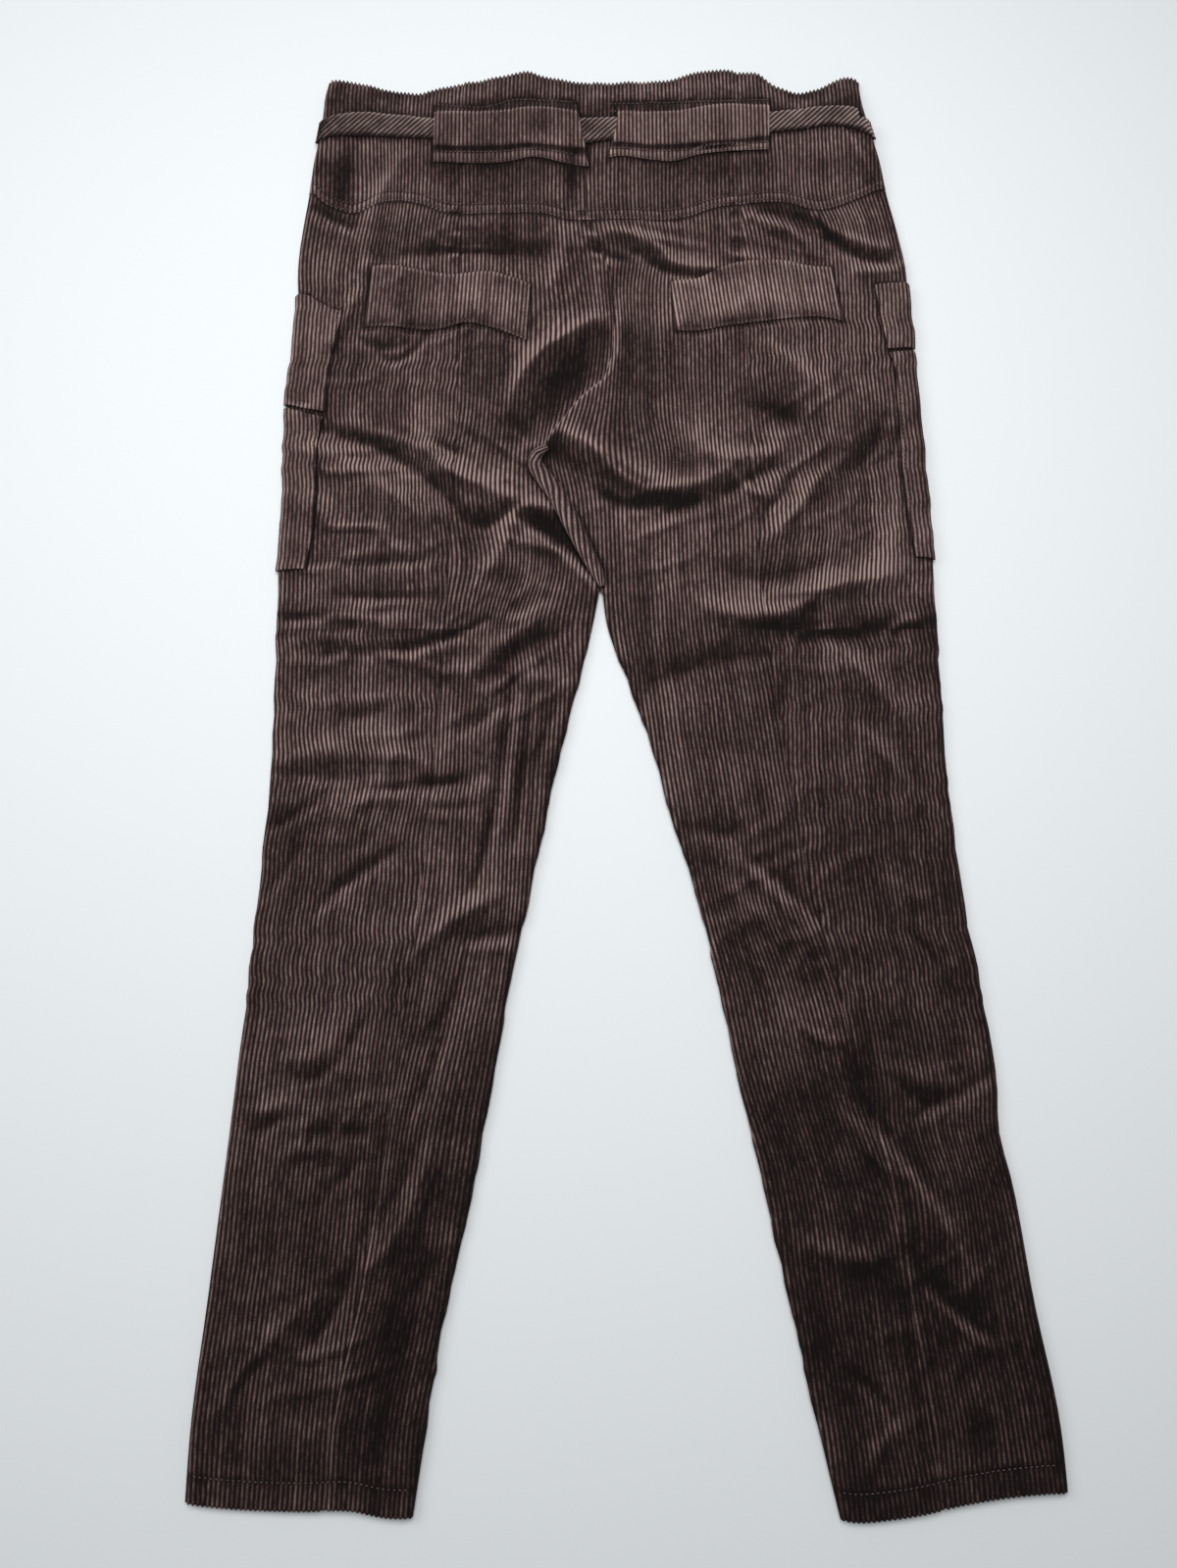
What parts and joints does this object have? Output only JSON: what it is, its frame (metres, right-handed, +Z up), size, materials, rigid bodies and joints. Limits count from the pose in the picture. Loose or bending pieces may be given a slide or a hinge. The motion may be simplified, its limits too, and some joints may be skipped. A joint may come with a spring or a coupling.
{
  "type": "corduroy trousers",
  "caption": "Straight-leg corduroy trousers laid flat, back side up, with a back yoke, patch pockets and a flat tie belt in fabric tunnels.",
  "frame": {"origin": "middle of the footprint of the flat-laid trousers, on the surface they lie on", "axes": "+Z up, away from the surface, out of the back of the trousers; +Y from the hems to the waist; +X to the right as seen from above with the waist at the top"},
  "size_m": [0.568, 1.0844, 0.018],
  "materials": {
    "corduroy": "ribbed cotton corduroy, matt with a soft nap",
    "corduroy_nap_reversed": "the same corduroy with its nap the other way, which reads lighter",
    "corduroy_bias": "the same corduroy cut on the bias"
  },
  "bodies": {
    "root": {"back_left_outer": "corduroy", "back_left_inner": "corduroy", "back_right_inner": "corduroy", "back_right_outer": "corduroy", "front_left": "corduroy", "front_right": "corduroy", "yoke_back_left_side": "corduroy", "yoke_back_left_centre": "corduroy", "yoke_back_right_centre": "corduroy", "yoke_back_right_side": "corduroy", "yoke_front_left": "corduroy", "yoke_front_right": "corduroy", "pocket_back_left": "corduroy_nap_reversed", "pocket_back_right": "corduroy_nap_reversed", "side_patch_upper_left": "corduroy_nap_reversed", "side_patch_lower_left": "corduroy_nap_reversed", "side_patch_upper_right": "corduroy_nap_reversed", "side_patch_lower_right": "corduroy_nap_reversed", "tunnel_back_left": "corduroy_nap_reversed", "tunnel_back_right": "corduroy_nap_reversed", "tie_belt": "corduroy_bias"}
  },
  "joints": []
}
